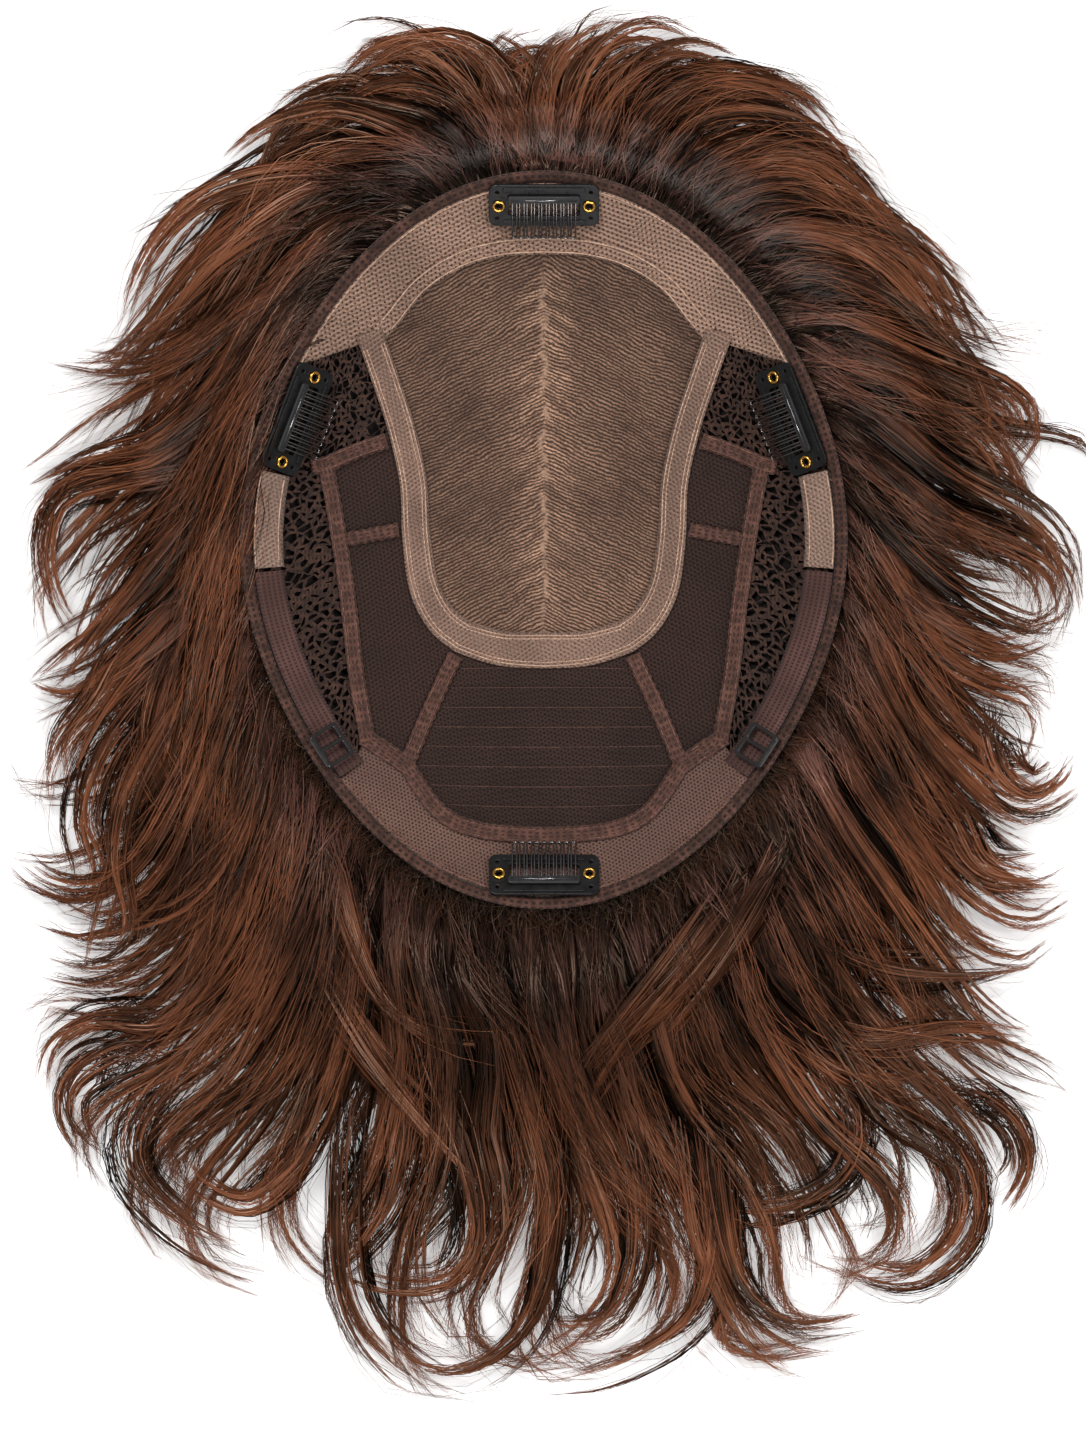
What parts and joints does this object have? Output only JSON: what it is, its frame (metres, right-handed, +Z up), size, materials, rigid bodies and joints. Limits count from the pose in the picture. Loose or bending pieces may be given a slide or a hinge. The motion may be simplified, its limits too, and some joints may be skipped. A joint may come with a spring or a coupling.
{
  "type": "hair topper",
  "caption": "Lace-front hair topper lying inside-up: lace and monofilament cap with nets, tapes, elastic straps and snap clips, ringed by brown locks.",
  "frame": {"origin": "on the table under the middle of the crown", "axes": "+Z up, out of the open side of the cap; +Y along the length of the hair, towards the front hairline"},
  "size_m": [0.316, 0.4029, 0.0572],
  "materials": {
    "lace": "tan mesh lace",
    "mono": "fine tan monofilament mesh",
    "tab": "pale lace tape",
    "net": "dark open net",
    "mesh": "dark fine mesh",
    "tape": "matte brown ribbon",
    "elastic": "ribbed brown elastic",
    "plastic": "black enamel",
    "wire": "grey wire",
    "brass": "polished",
    "hair": "glossy chestnut brown hair"
  },
  "bodies": {
    "root": {"rim_tape": "tape", "mono_top": "mono", "front_lace": "lace", "weft_panel": "mesh", "back_band": "lace", "front_seam": "lace", "panel_border": "lace", "back_tape": "tape", "hair": "hair", "hair_bed": "hair", "front_net_left": "net", "side_net_left": "net", "mesh_square_left": "mesh", "mesh_panel_left": "mesh", "upper_cross_tape_left": "tape", "rib_tape_left": "tape", "lower_cross_tape_left": "tape", "diagonal_tape_left": "tape", "corner_tape_left": "tape", "ear_tab_left": "tab", "elastic_strap_left": "elastic", "strap_loop_left": "elastic", "adjuster_left": "plastic", "front_net_right": "net", "side_net_right": "net", "mesh_square_right": "mesh", "mesh_panel_right": "mesh", "upper_cross_tape_right": "tape", "rib_tape_right": "tape", "lower_cross_tape_right": "tape", "diagonal_tape_right": "tape", "corner_tape_right": "tape", "ear_tab_right": "tab", "elastic_strap_right": "elastic", "strap_loop_right": "elastic", "adjuster_right": "plastic", "clip_plate_front": "plastic", "clip_grip_front": "plastic", "clip_comb_front": "wire", "eyelet_front_1": "brass", "eyelet_front_2": "brass", "clip_plate_left": "plastic", "clip_grip_left": "plastic", "clip_comb_left": "wire", "eyelet_left_1": "brass", "eyelet_left_2": "brass", "clip_plate_right": "plastic", "clip_grip_right": "plastic", "clip_comb_right": "wire", "eyelet_right_1": "brass", "eyelet_right_2": "brass", "clip_plate_back": "plastic", "clip_grip_back": "plastic", "clip_comb_back": "wire", "eyelet_back_1": "brass", "eyelet_back_2": "brass"}
  },
  "joints": []
}
